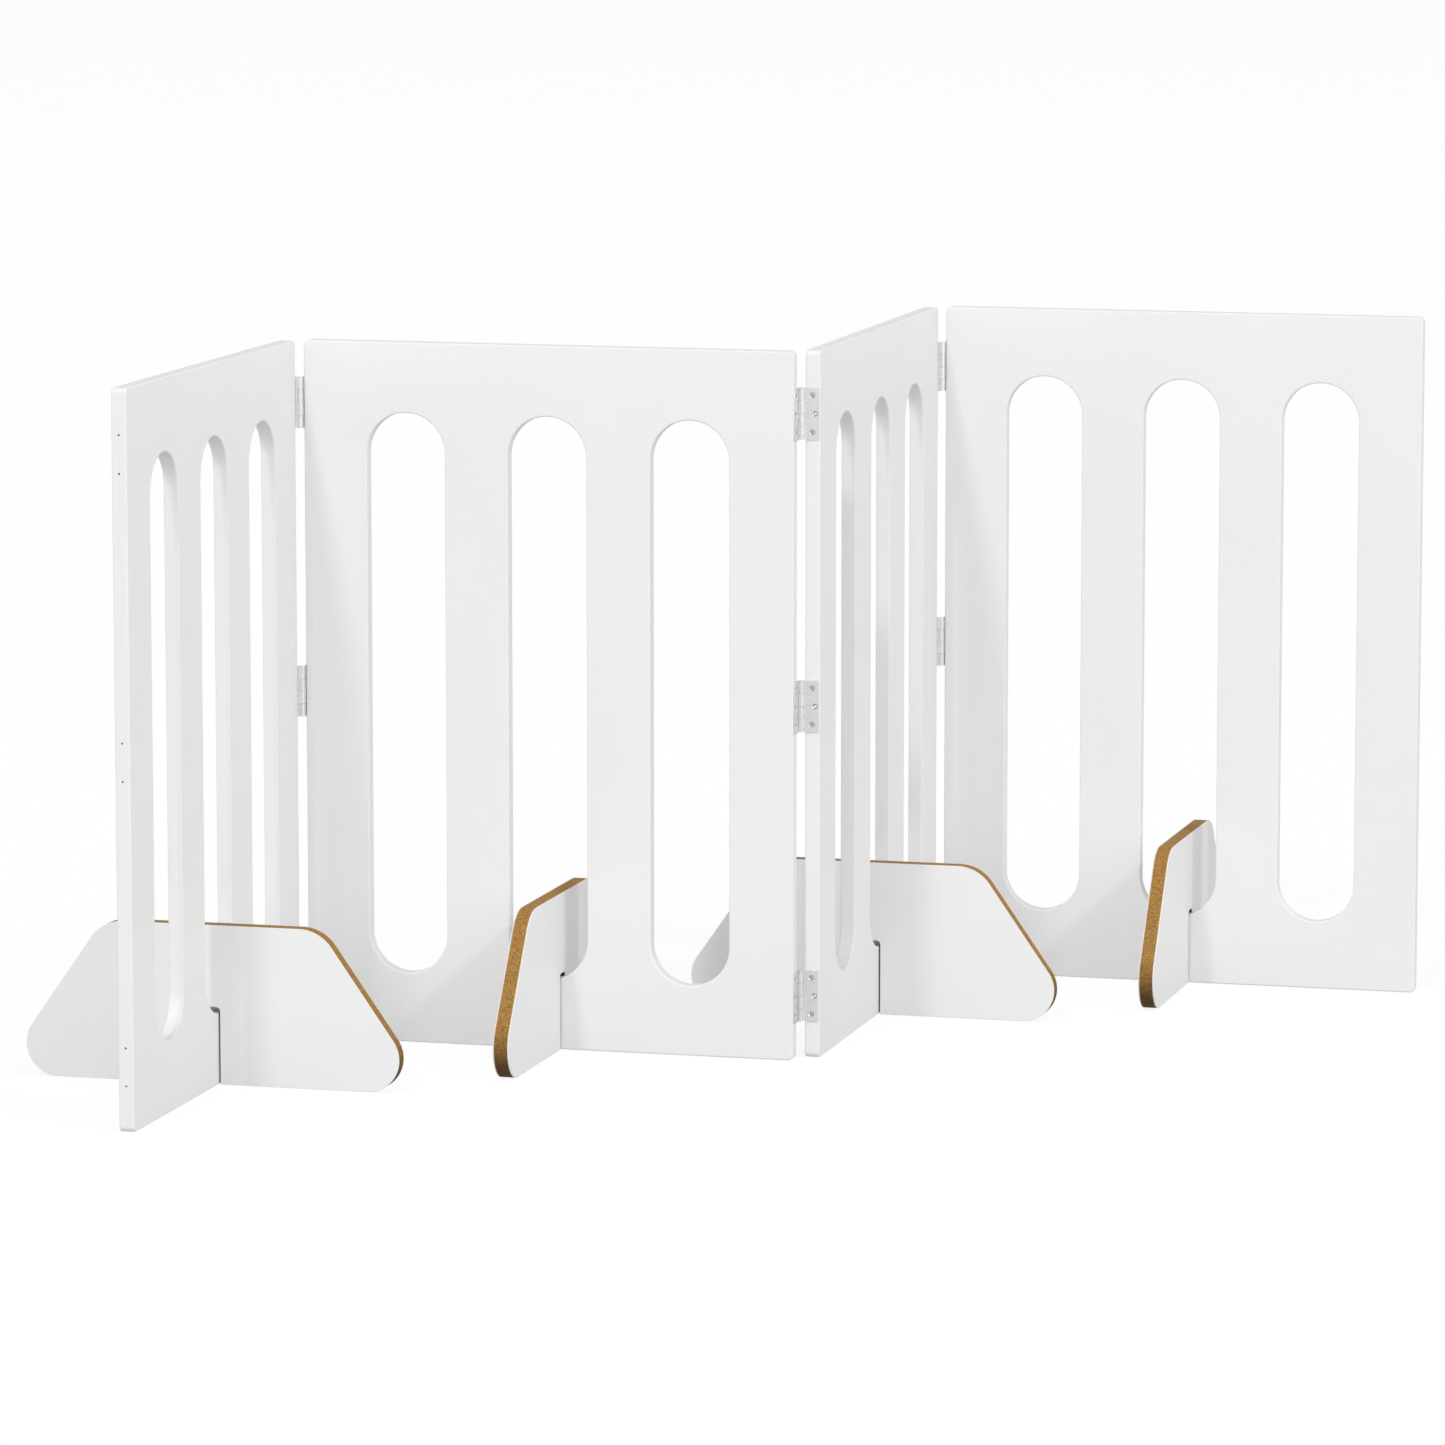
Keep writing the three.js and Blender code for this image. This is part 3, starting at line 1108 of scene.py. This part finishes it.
@dataclass
class HingeLeaf:
    """One pressed leaf of a butt hinge, with its two rolled knuckles and three countersunk holes.

    The pin's axis is the z axis, the leaf runs along +x and its back lies at y = barrel_radius.
    """

    reach: float
    height: float
    thickness: float = 1.2 * MM
    barrel_radius: float = 2.9 * MM
    knuckle_count: int = 4
    knuckle_gap: float = 0.3 * MM
    barrel_clearance: float = 0.08 * MM
    corner_radius: float = 1.0 * MM
    screw_line_from_edge: float = 6.5 * MM
    spare_hole_from_edge: float = 3.5 * MM
    screw_spacing: float = 36.0 * MM
    countersink_radius: float = 2.9 * MM
    roll_end: float = math.radians(394.0)
    roll_steps: int = 42
    hole_steps: int = 28
    edge_round: float = 0.14 * MM
    round_from: float = math.radians(40.0)
    sharp_turn: float = math.radians(9.5)
    weld_reach: float = 0.001 * MM
    hole_shade: float = 1.0

    @property
    def root(self) -> float:
        """Where the flat plate ends and the knuckles begin."""
        return self.barrel_radius + self.barrel_clearance

    @property
    def bore_radius(self) -> float:
        """The radius of the hole that the pin runs in, and the y of the leaf's open face."""
        return self.barrel_radius - self.thickness

    @property
    def screw_line(self) -> float:
        """The x of the two screws."""
        return self.reach - self.screw_line_from_edge

    def holes(self) -> list[Point]:
        """Works out where the holes are.

        Returns:
            The (x, z) centres of the two screw holes and of the spare hole between them.
        """
        spare = self.reach - self.spare_hole_from_edge
        half = self.screw_spacing / 2.0
        return [(self.screw_line, -half), (spare, 0.0), (self.screw_line, half)]

    def knuckle_spans(self) -> list[Point]:
        """Works out which stretches of the barrel are this leaf's.

        Returns:
            The (low, high) z of its knuckles, the third and the first from the top.
        """
        pitch = self.height / self.knuckle_count
        top = self.height / 2.0
        gap = self.knuckle_gap / 2.0
        return [(top - (index + 1) * pitch + gap, top - index * pitch - gap) for index in (2, 0)]

    def build(self) -> Mesh:
        """Builds the leaf with lightly rounded edges.

        Returns:
            One closed mesh.
        """
        work = bmesh.new()
        work.verts.layers.float.new("cavity")
        self._plate(work)
        for low, high in self.knuckle_spans():
            self._knuckle(work, low, high)
        bmesh.ops.remove_doubles(work, verts=work.verts, dist=self.weld_reach)
        bmesh.ops.recalc_face_normals(work, faces=work.faces)
        blank = loose_object("leaf_blank", finished_mesh(work, "leaf_blank"))
        bevel = blank.modifiers.new("edge_round", "BEVEL")
        bevel.width = self.edge_round
        bevel.segments = 2
        bevel.limit_method = "ANGLE"
        bevel.angle_limit = self.round_from
        mesh = evaluated_mesh(blank, "hinge_leaf")
        mesh.set_sharp_from_angle(angle=self.sharp_turn)
        return mesh

    def _plate(self, work: BMesh) -> None:
        """Adds the flat plate, left open where the knuckles join it.

        Args:
            work: The mesh being built, with its "cavity" layer.
        """
        cavity = work.verts.layers.float["cavity"]
        half = self.height / 2.0
        outline = RoundedOutline(
            (
                Corner(self.root, -half),
                Corner(self.reach, -half, self.corner_radius),
                Corner(self.reach, half, self.corner_radius),
                Corner(self.root, half),
            ),
            steps=6,
        ).points(0.0)
        tabs = [z for span in reversed(self.knuckle_spans()) for z in (span[1], span[0])]
        outline += [(self.root, z) for z in tabs]
        back = self._loop(work, outline, self.barrel_radius)
        front = self._loop(work, outline, self.bore_radius)
        first_tab = len(outline) - len(tabs)
        open_sides = {first_tab, first_tab + 2}
        for index in range(len(outline)):
            if index in open_sides:
                continue
            after = (index + 1) % len(outline)
            work.faces.new((back[index], back[after], front[after], front[index]))
        back_loops = [back]
        front_loops = [front]
        for x, z in self.holes():
            hole_radius = self.countersink_radius - self.thickness
            narrow = self._loop(work, self._circle(x, z, hole_radius), self.barrel_radius)
            for vert in narrow:
                # Painted shade: each hole's narrow rim is marked so the countersink darkens towards the hole.
                vert[cavity] = self.hole_shade
            wide = self._loop(work, self._circle(x, z, self.countersink_radius), self.bore_radius)
            join_loops(work, narrow, wide)
            back_loops.append(narrow)
            front_loops.append(wide)
        fill_flat(work, back_loops)
        fill_flat(work, front_loops)

    def _knuckle(self, work: BMesh, low: float, high: float) -> None:
        """Adds one knuckle: the plate's strip, rolled round the pin until it nearly meets the plate again.

        Args:
            work: The mesh being built.
            low: The knuckle's lower z.
            high: Its upper z.
        """
        inner, outer = self.bore_radius, self.barrel_radius
        rows: list[tuple[Point, Point]] = [((self.root, outer), (self.root, inner))]
        for step in range(self.roll_steps + 1):
            angle = math.pi / 2.0 + (self.roll_end - math.pi / 2.0) * step / self.roll_steps
            across, up = math.cos(angle), math.sin(angle)
            rows.append(((outer * across, outer * up), (inner * across, inner * up)))
        corners = [
            [work.verts.new((x, y, z)) for (x, y), z in ((o, high), (i, high), (i, low), (o, low))]
            for o, i in rows
        ]
        for first, second in zip(corners, corners[1:]):
            join_loops(work, first, second)
        work.faces.new(corners[-1])

    def _circle(self, x: float, z: float, radius: float) -> list[Point]:
        """Returns a circle of points round (x, z)."""
        angles = [2.0 * math.pi * step / self.hole_steps for step in range(self.hole_steps)]
        return [(x + radius * math.cos(a), z + radius * math.sin(a)) for a in angles]

    @staticmethod
    def _loop(work: BMesh, points: Sequence[Point], y: float) -> list[BMVert]:
        """Adds the points as vertices at one y."""
        return [work.verts.new((x, y, z)) for x, z in points]


@dataclass
class HingePin:
    """The wire pin of a hinge, with its ends lightly domed."""

    radius: float
    height: float
    dome: float = 0.35 * MM
    dome_steps: int = 4
    end_gap: float = 0.05 * MM
    steps: int = 28

    def build(self) -> Mesh:
        """Builds the pin about the z axis.

        Returns:
            One closed mesh.
        """
        half = self.height / 2.0
        end: list[Point] = [(0.0, half)]
        for step in range(self.dome_steps + 1):
            angle = math.pi / 2.0 * step / self.dome_steps
            radius = self.radius - self.dome * (1.0 - math.sin(angle))
            end.append((radius, half - self.dome * (1.0 - math.cos(angle)) - self.end_gap))
        work = bmesh.new()
        lathe(work, end + [(radius, -z) for radius, z in reversed(end)], self.steps)
        return finished_mesh(work, "hinge_pin")


@dataclass
class WoodScrew:
    """A countersunk cross-head wood screw that points along +z, its head's top at z = 0."""

    length: float = 16.0 * MM
    head_radius: float = 2.25 * MM
    core_radius: float = 1.05 * MM
    thread_radius: float = 1.5 * MM
    neck_radius: float = 1.3 * MM
    neck_end: float = 4.0 * MM
    tip_start: float = 12.8 * MM
    thread_pitch: float = 1.35 * MM
    rings_per_turn: int = 4
    steps: int = 14
    recess_length: float = 3.1 * MM
    recess_width: float = 0.86 * MM
    recess_depth: float = 1.6 * MM
    recess_taper: Window = (0.28, 0.55)
    recess_above: float = 0.4 * MM
    recess_shade: float = 0.9
    rim: float = 0.12 * MM
    rim_depth: float = 0.02 * MM
    sharp_turn: float = math.radians(35.0)

    def build(self) -> Mesh:
        """Turns the blank, cuts its thread and presses the cross recess into its head.

        Returns:
            One closed mesh.
        """
        work = bmesh.new()
        rim = self.rim
        cone_end = self.head_radius - self.neck_radius
        profile: list[Point] = [
            (0.0, 0.0),
            (self.head_radius - rim, 0.0),
            (self.head_radius, rim),
            (self.neck_radius, cone_end + rim),
            (self.neck_radius, self.neck_end),
        ]
        pitch_step = self.thread_pitch / self.rings_per_turn
        z = self.neck_end + pitch_step
        while z < self.length - pitch_step:
            profile.append((self.core_radius * self._taper(z), z))
            z += pitch_step
        profile.append((0.0, self.length))
        lathe(work, profile, self.steps)
        self._raise_thread(work)
        blank = loose_object("screw_blank", finished_mesh(work, "screw_blank"))
        for index in range(2):
            self._press_recess(blank, index * math.pi / 2.0)
        mesh = evaluated_mesh(blank, "wood_screw")
        for cutter in [obj for obj in bpy.data.objects if obj.name.startswith("recess_cutter")]:
            bpy.data.objects.remove(cutter)
        mesh.set_sharp_from_angle(angle=self.sharp_turn)
        # The recess gets painted shade through the "cavity" attribute.
        self._mark_recess_shade(mesh)
        return mesh

    def _taper(self, z: float) -> float:
        """Returns the share of the full radius that is left at z, less than 1 along the tip."""
        return min(1.0, (self.length - z) / (self.length - self.tip_start))

    def _mark_recess_shade(self, mesh: Mesh) -> None:
        """Marks the faces inside the recess's reach and below its rim with the attribute "cavity", along
        which the steel's finish paints shade.

        Args:
            mesh: The finished screw's mesh.
        """
        reach = self.recess_length / 2.0
        marks = []
        for face in mesh.polygons:
            inside = face.center.z > self.rim_depth and math.hypot(face.center.x, face.center.y) < reach
            marks.append(self.recess_shade if inside else 0.0)
        mesh.attributes.new("cavity", "FLOAT", "FACE").data.foreach_set("value", marks)

    def _raise_thread(self, work: BMesh) -> None:
        """Moves the shank's points outwards along a helix, so the rings become a running thread.

        Args:
            work: The turned blank.
        """
        for vert in work.verts:
            z = vert.co.z
            radius = math.hypot(vert.co.x, vert.co.y)
            if z <= self.neck_end + 0.1 * MM or radius == 0.0:
                continue
            turn = math.atan2(vert.co.y, vert.co.x) / (2.0 * math.pi)
            phase = (z / self.thread_pitch - turn) % 1.0
            crest = max(0.0, 1.0 - 4.0 * abs(phase - 0.5))
            raised = (self.core_radius + crest * (self.thread_radius - self.core_radius)) * self._taper(z)
            vert.co.x *= raised / radius
            vert.co.y *= raised / radius

    def _press_recess(self, blank: Object, turn: float) -> None:
        """Cuts one arm of the cross, which narrows towards its bottom.

        Args:
            blank: The screw that is cut.
            turn: The arm's angle about the screw's axis.
        """
        work = bmesh.new()
        above = self.recess_above
        end_share, kept_width = self.recess_taper
        sections = ((-above, 1.0 + above / self.recess_depth), (self.recess_depth, end_share))
        square = ((-1, -1), (1, -1), (1, 1), (-1, 1))
        loops = []
        for z, share in sections:
            x = self.recess_length / 2.0 * share
            y = self.recess_width / 2.0 * (kept_width + (1.0 - kept_width) * share)
            loops.append([work.verts.new((sx * x, sy * y, z)) for sx, sy in square])
        join_loops(work, loops[0], loops[1])
        work.faces.new(loops[0])
        work.faces.new(loops[1])
        bmesh.ops.recalc_face_normals(work, faces=work.faces)
        cutter = loose_object("recess_cutter", finished_mesh(work, "recess_cutter"))
        cutter.data.transform(Matrix.Rotation(turn, 4, "Z"))
        cutter.hide_render = True
        boolean = blank.modifiers.new("recess", "BOOLEAN")
        boolean.operation = "DIFFERENCE"
        boolean.solver = "EXACT"
        boolean.object = cutter


@dataclass
class HingeLine:
    """The three hinges of one joint: their leaves, their pins, and where their screws go."""

    joint: str
    front_panel: int
    side_panel: int
    turn: float
    leaf_steel: Material
    pin_steel: Material
    screw_recess: float = 0.35 * MM

    @property
    def pin_point(self) -> Vector:
        """The joint's own point on its axis."""
        entry = next(joint for joint in frame["joints"] if joint["name"] == f"hinge_{self.joint}")
        return Vector(entry["pos_m"])

    def leaf_turn(self, panel: int) -> Matrix:
        """Works out a leaf's rotation about the pin; the front leaf is the same pressing upside down.

        Args:
            panel: The number of the board that the leaf is screwed to.

        Returns:
            The rotation.
        """
        line = Matrix.Rotation(self.turn, 4, "Z")
        if panel == self.side_panel:
            return line
        return line @ Matrix.Rotation(-math.pi / 2.0, 4, "Z") @ Matrix.Rotation(math.pi, 4, "X")

    def leaf_node(self, place: Place, panel: int) -> str:
        """Returns the name of a leaf's plain solid."""
        return f"hinge_{self.joint}_{place.value}_leaf_panel_{panel}"

    def centre(self, place: Place) -> Vector:
        """Finds the middle of one hinge on its pin's axis.

        Args:
            place: Which hinge of the line.

        Returns:
            The point.
        """
        low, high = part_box(self.leaf_node(place, self.side_panel))
        point = self.pin_point
        return Vector((point.x, point.y, (low.z + high.z) / 2.0))

    def build(self, leaf: Mesh, pin: Mesh) -> None:
        """Places the leaves and pins of the three hinges.

        Args:
            leaf: The leaf's mesh about its pin.
            pin: The pin's mesh about its axis.
        """
        for place in Place:
            centre = Matrix.Translation(self.centre(place))
            label = f"{self.joint}_{place.value}"
            for panel in (self.front_panel, self.side_panel):
                mesh = leaf.copy()
                mesh.transform(centre @ self.leaf_turn(panel))
                node = self.leaf_node(place, panel)
                name = f"leaf_{label}_on_board_{panel}"
                place_piece(name, mesh, (self.leaf_steel,), body_of_node(node), [node])
            mesh = pin.copy()
            mesh.transform(centre)
            node = f"hinge_{label}_pin"
            place_piece(f"pin_{label}", mesh, (self.pin_steel,), body_of_node(node), [node])

    def screw_seats(self, leaf: HingeLeaf) -> list[tuple[int, Vector, Vector]]:
        """Works out where each screw's head sits and which way it is driven.

        Args:
            leaf: The leaf that the screws hold.

        Returns:
            The panel's number, the head's place and the driving direction, for each screw.
        """
        seats = []
        for place in Place:
            for panel in (self.front_panel, self.side_panel):
                move = Matrix.Translation(self.centre(place)) @ self.leaf_turn(panel)
                heading = (move.to_3x3() @ Vector((0.0, 1.0, 0.0))).normalized()
                for z in (-leaf.screw_spacing / 2.0, leaf.screw_spacing / 2.0):
                    local = Vector((leaf.screw_line, leaf.bore_radius + self.screw_recess, z))
                    seats.append((panel, move @ local, heading))
        return seats


@dataclass
class ScrewSet:
    """All the screws that go into one board, driven by the geometry node tree."""

    panel: int
    steel: Material
    driver: RepeatTree
    first_seed: int = 7

    def nodes(self) -> list[str]:
        """Returns the plain solids of this board's screws."""
        ending = f"_screw_panel_{self.panel}_"
        return sorted(name for name in frame["nodes"] if ending in name)

    def build(self, screw: Object, seats: Sequence[tuple[Vector, Vector]]) -> Object:
        """Drives the screws and returns them as one piece.

        Args:
            screw: The screw to repeat.
            seats: Each head's place and driving direction.

        Returns:
            The finished piece.
        """
        points = bpy.data.meshes.new("screw_points")
        points.from_pydata([tuple(place) for place, _ in seats], [], [])
        heading = points.attributes.new("heading", "FLOAT_VECTOR", "POINT")
        heading.data.foreach_set("vector", [value for _, way in seats for value in way])
        values = {"Screw": screw, "Turn Seed": self.first_seed + self.panel, "Material": self.steel}
        name = f"screws_in_board_{self.panel}"
        mesh = self.driver.run(loose_object("screw_points", points), name, values)
        return place_piece(name, mesh, (self.steel,), f"panel_{self.panel}", self.nodes())


# ---- Stage ----


@dataclass(frozen=True)
class SoftBox:
    """A square soft light that hangs at a distance from the gate and faces it."""

    name: str
    toward: Colour
    distance: float
    size: float
    energy: float
    aim: Colour = (0.0, 0.0, 0.35)
    sheen_only: bool = False

    def build(self) -> None:
        """Hangs the light along its direction and turns it to the gate."""
        light = bpy.data.lights.new(self.name, "AREA")
        light.energy = self.energy
        light.size = self.size
        lamp = bpy.data.objects.new(self.name, light)
        way = Vector(self.toward).normalized()
        lamp.location = Vector(self.aim) + way * self.distance
        lamp.rotation_euler = way.to_track_quat("Z", "Y").to_euler()
        lamp.visible_diffuse = not self.sheen_only
        bpy.context.scene.collection.objects.link(lamp)


@dataclass(frozen=True)
class Studio:
    """A pale floor, a soft pale surround, two soft boxes and a low strip seen only in reflections."""

    floor_half: float = 60.0
    floor_drop: float = 0.6 * MM
    floor_glow: float = 0.875
    floor_colour: Colour = (0.15, 0.15, 0.15)
    floor_bounce: float = 0.49
    floor_sheen: float = 0.66
    surround_dim: float = 0.92
    surround_bright: float = 1.42
    zenith_drop: float = 1.05
    zenith_window: Window = (0.22, 1.0)
    surround_way: Colour = (0.52, -0.82, 0.25)
    boxes: tuple[SoftBox, ...] = (
        SoftBox("high_front_box", (-0.20, -1.0, 1.05), 30.0, 2.4, 1760.0),
        SoftBox("right_side_box", (0.689, -0.372, 0.622), 30.0, 2.0, 1500.0),
        SoftBox("low_right_strip", (0.906, -0.423, 0.08), 30.0, 2.4, 620.0, sheen_only=True),
    )

    def build(self) -> None:
        """Lays the floor and sets the lights."""
        self._floor()
        self._surround()
        for box in self.boxes:
            box.build()
        bpy.context.scene.view_settings.view_transform = "Standard"

    def _floor(self) -> None:
        """Lays a pale floor that keeps the studio's bright look and returns a softer bounce to the object."""
        mesh = bpy.data.meshes.new("studio_floor")
        half = self.floor_half
        corners = [(-half, -half), (half, -half), (half, half), (-half, half)]
        mesh.from_pydata([(x, y, -self.floor_drop) for x, y in corners], [], [(0, 1, 2, 3)])
        material = bpy.data.materials.new("studio_floor")
        material.use_nodes = True
        graph = Graph(material.node_tree)
        seen = graph.add("ShaderNodeBsdfDiffuse", Color=rgba(self.floor_colour))
        glow = graph.add("ShaderNodeEmission", Strength=self.floor_glow)
        pale = graph.add("ShaderNodeAddShader")
        graph.feed(pale.inputs[0], seen.outputs[0])
        graph.feed(pale.inputs[1], glow.outputs[0])
        rays = graph.add("ShaderNodeLightPath").outputs
        returned = graph.remap(rays["Is Glossy Ray"], (0.0, 1.0), (self.floor_bounce, self.floor_sheen))
        bounce = graph.add("ShaderNodeEmission", Strength=returned)
        mixed = graph.add("ShaderNodeMixShader", Fac=rays["Is Camera Ray"])
        graph.feed(mixed.inputs[1], bounce.outputs[0])
        graph.feed(mixed.inputs[2], pale.outputs[0])
        graph.add("ShaderNodeOutputMaterial", Surface=mixed.outputs[0])
        mesh.materials.append(material)
        loose_object("studio_floor", mesh)

    def _surround(self) -> None:
        """Makes the surround brightest on the gate's open front side and dimmer behind it and overhead."""
        world = bpy.data.worlds.new("studio_surround")
        world.use_nodes = True
        bpy.context.scene.world = world
        graph = Graph(world.node_tree)
        direction = graph.add("ShaderNodeTexCoord").outputs["Generated"]
        facing = graph.add("ShaderNodeVectorMath", {"operation": "DOT_PRODUCT"})
        graph.feed(facing.inputs[0], direction)
        graph.feed(facing.inputs[1], Vector(self.surround_way).normalized())
        levels = (self.surround_dim, self.surround_bright)
        level = graph.remap(facing.outputs["Value"], (-1.0, 1.0), levels)
        height = graph.add("ShaderNodeSeparateXYZ", Vector=direction).outputs["Z"]
        drop = graph.remap(height, self.zenith_window, (0.0, self.zenith_drop))
        background = graph.add("ShaderNodeBackground", Strength=graph.math("SUBTRACT", level, drop))
        graph.set(background, Color=rgba((1.0, 1.0, 1.0)))
        graph.add("ShaderNodeOutputWorld", Surface=background.outputs[0])


@dataclass(frozen=True)
class Viewpoint:
    """The camera: a long lens from the front right, a little above the gate."""

    place: Colour = (1.8675, -7.0637, 1.3708)
    heading: float = math.radians(14.905)
    pitch: float = math.radians(8.20)
    lens: float = 184.8
    sensor_width: float = 36.0
    far_limit: float = 200.0

    def build(self) -> None:
        """Sets up the camera and makes it the scene's own."""
        camera = bpy.data.cameras.new("viewpoint")
        camera.lens = self.lens
        camera.sensor_width = self.sensor_width
        camera.clip_end = self.far_limit
        holder = bpy.data.objects.new("viewpoint", camera)
        holder.location = self.place
        level = math.cos(self.pitch)
        aim = Vector((-level * math.sin(self.heading), level * math.cos(self.heading), -math.sin(self.pitch)))
        holder.rotation_euler = aim.to_track_quat("-Z", "Y").to_euler()
        bpy.context.scene.collection.objects.link(holder)
        bpy.context.scene.camera = holder


# ---- The gate ----


class FoldingGate:
    """The whole gate: its finishes, its shared small parts and its sub-assemblies."""

    def __init__(self) -> None:
        """Makes the finishes that the pieces share."""
        self.paint = PaintFinish().material()
        self.foot_paint = PaintFinish(name="white_foot_paint", stipple_depth=0.00002).material()
        self.bare_edge = FibreboardFinish().material()
        steels = (
            SteelFinish("plated_leaf_steel", (0.92, 0.92, 0.915), (0.72, 0.72, 0.72), 0.32),
            SteelFinish("drawn_pin_steel", (0.58, 0.585, 0.59), (0.44, 0.44, 0.45), 0.3),
            SteelFinish("plated_screw_steel", (0.90, 0.90, 0.885), (0.72, 0.72, 0.70), 0.24, (1.0, 1.0, 1.0)),
        )
        self.leaf_steel, self.pin_steel, self.screw_steel = (steel.material() for steel in steels)

    def build_boards(self) -> None:
        """Builds the four boards."""
        drill = pilot_drill_tree()
        for number in range(1, 5):
            SlottedBoard(number, self.paint, drill).build()

    def build_feet(self) -> None:
        """Builds the four feet."""
        for number in range(1, 5):
            StraddleFoot(number, self.foot_paint, self.bare_edge).build()

    def build_hinges(self) -> None:
        """Builds the three hinge lines and drives their screws, board by board."""
        low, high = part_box("hinge_23_top_leaf_panel_3")
        pin_low, pin_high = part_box("hinge_23_top_pin")
        pin_axis = (pin_low + pin_high) / 2.0
        leaf = HingeLeaf(reach=high.x - pin_axis.x, height=high.z - low.z)
        pin = HingePin(radius=(pin_high.x - pin_low.x) / 2.0, height=pin_high.z - pin_low.z)
        leaf_mesh = leaf.build()
        pin_mesh = pin.build()
        lines = [
            HingeLine("12", 2, 1, math.pi, self.leaf_steel, self.pin_steel),
            HingeLine("23", 2, 3, 0.0, self.leaf_steel, self.pin_steel),
            HingeLine("34", 4, 3, math.pi, self.leaf_steel, self.pin_steel),
        ]
        for line in lines:
            line.build(leaf_mesh, pin_mesh)
        seats = [seat for line in lines for seat in line.screw_seats(leaf)]
        self._drive_screws(seats)

    def _drive_screws(self, seats: Sequence[tuple[int, Vector, Vector]]) -> None:
        """Drives the screws of each board as one piece.

        Args:
            seats: Each screw's board, head's place and driving direction.
        """
        screw = loose_object("wood_screw", WoodScrew().build())
        driver = screw_driving_tree()
        for panel in range(1, 5):
            own = [(place, heading) for number, place, heading in seats if number == panel]
            ScrewSet(panel, self.screw_steel, driver).build(screw, own)
        bpy.data.objects.remove(screw)


def main() -> None:
    """Builds the gate and its stage."""
    logging.basicConfig(level=logging.INFO, format="%(name)s: %(message)s")
    Viewpoint().build()
    Studio().build()
    gate = FoldingGate()
    gate.build_boards()
    gate.build_feet()
    gate.build_hinges()


if __name__ == "__main__":
    main()
